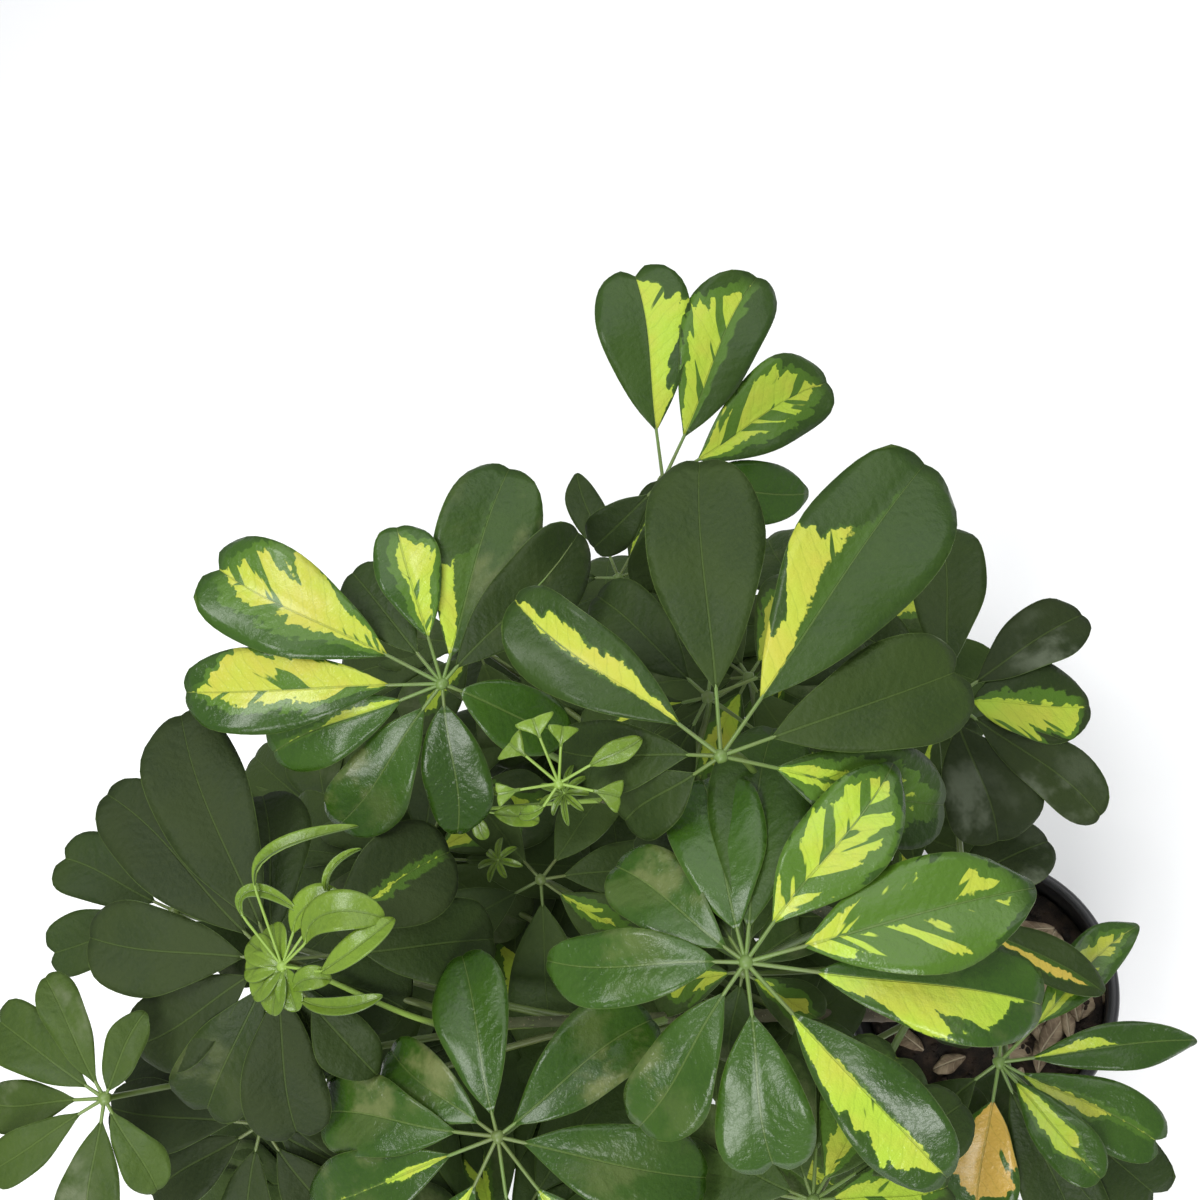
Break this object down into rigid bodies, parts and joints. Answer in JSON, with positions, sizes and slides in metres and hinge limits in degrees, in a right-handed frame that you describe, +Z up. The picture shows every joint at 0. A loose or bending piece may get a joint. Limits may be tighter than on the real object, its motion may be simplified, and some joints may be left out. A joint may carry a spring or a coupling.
{
  "type": "potted umbrella plant",
  "caption": "Round nursery pot with soil, woody stems leaning to one side, and umbrella-shaped compound leaves of long rounded leaflets with yellow-green variegation.",
  "frame": {"origin": "middle of the pot's flat underside, on the floor", "axes": "+Z up; the crown leans towards -X and +Y"},
  "size_m": [0.5331, 0.5304, 0.4912],
  "materials": {
    "pot": "black injection-moulded plastic, satin",
    "soil": "dark peat compost with dry fallen leaves, matt",
    "stem": "grey-green bark with leaf scars, matt",
    "leaf_green": "green leaf with lime-yellow patches, waxy gloss",
    "leaf_dark": "dark green leaf with yellow patches, waxy gloss",
    "leaf_young": "young lime-green leaf, soft gloss"
  },
  "bodies": {
    "root": {"leaf_back": "leaf_dark", "leaf_far_left": "leaf_green", "leaf_front": "leaf_green", "leaf_left_back": "leaf_green", "leaf_left_big": "leaf_dark", "leaf_lime_left": "leaf_young", "leaf_low_back": "leaf_dark", "leaf_low_behind": "leaf_dark", "leaf_low_core": "leaf_dark", "leaf_low_corner": "leaf_dark", "leaf_low_crown": "leaf_dark", "leaf_low_edge": "leaf_dark", "leaf_low_far": "leaf_dark", "leaf_low_front": "leaf_green", "leaf_low_heart": "leaf_dark", "leaf_low_inner": "leaf_dark", "leaf_low_left": "leaf_dark", "leaf_low_middle": "leaf_dark", "leaf_low_near": "leaf_dark", "leaf_low_right": "leaf_dark", "leaf_low_side": "leaf_dark", "leaf_low_under": "leaf_dark", "leaf_over_pot": "leaf_dark", "leaf_pot_side": "leaf_green", "leaf_right": "leaf_dark", "leaf_shaded": "leaf_dark", "leaf_tall": "leaf_green", "leaf_top_back": "leaf_green", "leaf_under_tall": "leaf_dark", "leaf_young_left": "leaf_young", "leaf_young_pair": "leaf_young", "leaf_young_top": "leaf_young", "pot": "pot", "soil": "soil", "stem_a": "stem", "stem_b": "stem", "stem_c": "stem"}
  },
  "joints": []
}
